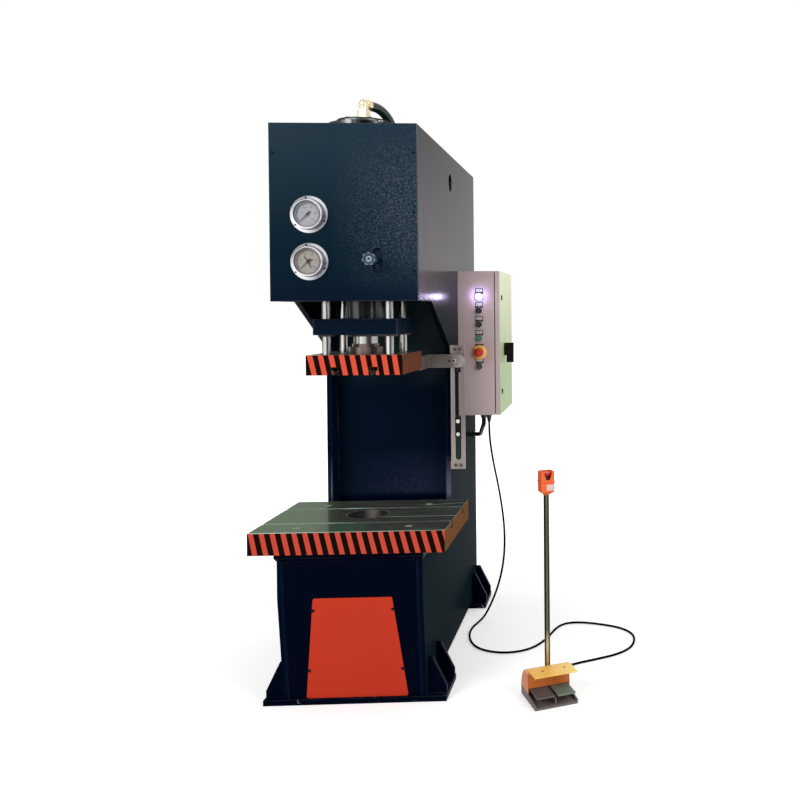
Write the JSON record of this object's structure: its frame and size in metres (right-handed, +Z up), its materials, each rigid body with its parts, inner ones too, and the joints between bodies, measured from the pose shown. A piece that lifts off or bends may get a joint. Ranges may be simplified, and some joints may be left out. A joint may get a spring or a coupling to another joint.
{
  "type": "c-frame hydraulic press",
  "caption": "Single-column hydraulic press with a T-slotted table, guided platen, side cabinet and a pedal unit with stop post.",
  "frame": {"origin": "on the floor under the ram axis", "axes": "+X to the machine's right as the operator faces it, +Y to its back, +Z up along the ram"},
  "size_m": [1.3417, 1.436, 2.181],
  "materials": {
    "frame_paint": "dark navy hammertone enamel, glossy",
    "cover_paint": "red enamel, glossy",
    "cover_paint_grey": "dark grey, satin",
    "bolt_steel": "oiled dark steel",
    "table_steel": "ground steel, faces that bear are bright",
    "cylinder_paint": "dark enamel",
    "bearing_bronze": "machined bronze",
    "plated_steel": "zinc plated",
    "hose_rubber": "matt black",
    "hard_chrome": "polished hard chrome",
    "bright_steel": "bright plated",
    "black_plastic": "satin black",
    "stainless": "brushed",
    "dial_white": "white with printed scale",
    "clear_glass": "clear",
    "needle_black": "matt black",
    "cabinet_paint": "warm light grey powder coat",
    "lamp_lens": "translucent lens",
    "green_plastic": "gloss green",
    "red_plastic": "gloss red",
    "black_rubber": "matt black jacket",
    "cast_iron": "painted casting",
    "pedal_casting": "grey casting",
    "guard_paint": "yellow and orange enamel",
    "tread_plastic": "ribbed",
    "post_steel": "dull greenish steel tube",
    "box_paint": "orange enamel"
  },
  "bodies": {
    "frame": {"left_side_plate": "frame_paint", "right_side_plate": "frame_paint", "head_front_plate": "frame_paint", "top_plate": "frame_paint", "back_plate": "frame_paint", "column_web": "frame_paint", "bed_top_plate": "frame_paint", "bed_front_plate": "frame_paint", "feet": "frame_paint", "front_cover": "cover_paint", "frame_bolts": "bolt_steel", "table": "table_steel", "cylinder_barrel": "cylinder_paint", "cylinder_cap": "cylinder_paint", "guide_block": "frame_paint", "slide_bearings": "bearing_bronze", "elbow_fitting": "plated_steel", "top_hose": "hose_rubber", "limit_bar": "bright_steel", "limit_bar_brackets": "bright_steel", "limit_switches": "black_plastic", "gauge_cases": "stainless", "gauge_dials": "dial_white", "gauge_glasses": "clear_glass", "valve_manifold": "plated_steel", "cabinet_box": "cabinet_paint", "door_hinges": "plated_steel", "control_collars": "black_plastic", "signal_lamp": "lamp_lens", "control_gear": "black_plastic", "cable_glands": "black_plastic", "conduit": "black_rubber", "pedal_cable": "black_rubber", "oil_tank": "frame_paint", "motor_pump": "cast_iron", "pedal_base": "pedal_casting", "pedal_guard": "guard_paint", "pedal_post": "post_steel", "stop_box": "box_paint"},
    "slide": {"ram": "hard_chrome", "ram_flange": "plated_steel", "platen": "table_steel", "platen_fasteners": "bolt_steel", "guide_rods": "hard_chrome", "trip_arm": "cover_paint_grey"},
    "upper_needle": {"upper_gauge_needle": "needle_black"},
    "lower_needle": {"lower_gauge_needle": "needle_black"},
    "throttle_knob": {"valve_knob": "black_plastic"},
    "door": {"cabinet_door": "cabinet_paint"},
    "main_switch": {"main_switch_handle": "black_plastic"},
    "upper_lock": {"upper_door_lock": "plated_steel"},
    "lower_lock": {"lower_door_lock": "plated_steel"},
    "mode_selector": {"upper_selector": "black_plastic"},
    "feed_selector": {"lower_selector": "black_plastic"},
    "key": {"key_switch": "plated_steel"},
    "start": {"start_button": "green_plastic"},
    "stop": {"stop_mushroom": "red_plastic"},
    "left_pedal": {"left_tread": "tread_plastic"},
    "right_pedal": {"right_tread": "tread_plastic"},
    "pedal_stop": {"stop_button": "red_plastic"}
  },
  "joints": [
    {"name": "press_stroke", "type": "slide", "parent": "frame", "child": "slide", "axis": [0, 0, -1], "range_m": [0, 0.4]},
    {"name": "upper_needle_turn", "type": "hinge", "parent": "frame", "child": "upper_needle", "pos_m": [-0.116, -0.296, 1.7235], "axis": [0, 1, 0], "range_deg": [0, 270]},
    {"name": "lower_needle_turn", "type": "hinge", "parent": "frame", "child": "lower_needle", "pos_m": [-0.116, -0.296, 1.562], "axis": [0, 1, 0], "range_deg": [0, 270]},
    {"name": "throttle_turn", "type": "hinge", "parent": "frame", "child": "throttle_knob", "pos_m": [0.113, -0.36, 1.565], "axis": [0, -1, 0], "range_deg": [-360, 360]},
    {"name": "door_swing", "type": "hinge", "parent": "frame", "child": "door", "pos_m": [0.42, 1.036, 1.2485], "axis": [0, 0, 1], "range_deg": [0, 110]},
    {"name": "main_switch_turn", "type": "hinge", "parent": "door", "child": "main_switch", "pos_m": [0.43, 0.72, 1.215], "axis": [1, 0, 0], "range_deg": [0, 90]},
    {"name": "upper_lock_turn", "type": "hinge", "parent": "door", "child": "upper_lock", "pos_m": [0.43, 0.613, 1.446], "axis": [1, 0, 0], "range_deg": [0, 90]},
    {"name": "lower_lock_turn", "type": "hinge", "parent": "door", "child": "lower_lock", "pos_m": [0.43, 0.613, 1.033], "axis": [1, 0, 0], "range_deg": [0, 90]},
    {"name": "upper_selector_turn", "type": "hinge", "parent": "frame", "child": "mode_selector", "pos_m": [0.3415, 0.54, 1.3905], "axis": [0, 1, 0], "range_deg": [-80, 0]},
    {"name": "lower_selector_turn", "type": "hinge", "parent": "frame", "child": "feed_selector", "pos_m": [0.3415, 0.54, 1.33], "axis": [0, 1, 0], "range_deg": [0, 80]},
    {"name": "key_turn", "type": "hinge", "parent": "frame", "child": "key", "pos_m": [0.3415, 0.54, 1.1485], "axis": [0, 1, 0], "range_deg": [0, 90]},
    {"name": "start_press", "type": "slide", "parent": "frame", "child": "start", "axis": [0, 1, 0], "range_m": [0, 0.004], "stiffness_N_per_m": 600, "springref_m": -0.002},
    {"name": "stop_press", "type": "slide", "parent": "frame", "child": "stop", "axis": [0, 1, 0], "range_m": [0, 0.005]},
    {"name": "left_tread_press", "type": "hinge", "parent": "frame", "child": "left_pedal", "pos_m": [0.67709, -0.17772, 0.031], "axis": [0.9304, 0.3665, 0], "range_deg": [0, 10], "stiffness_Nm_per_rad": 12, "springref_deg": -8.59},
    {"name": "right_tread_press", "type": "hinge", "parent": "frame", "child": "right_pedal", "pos_m": [0.67709, -0.17772, 0.031], "axis": [0.9304, 0.3665, 0], "range_deg": [0, 10], "stiffness_Nm_per_rad": 12, "springref_deg": -8.59},
    {"name": "pedal_stop_press", "type": "slide", "parent": "frame", "child": "pedal_stop", "axis": [0, 0, -1], "range_m": [0, 0.005]}
  ]
}
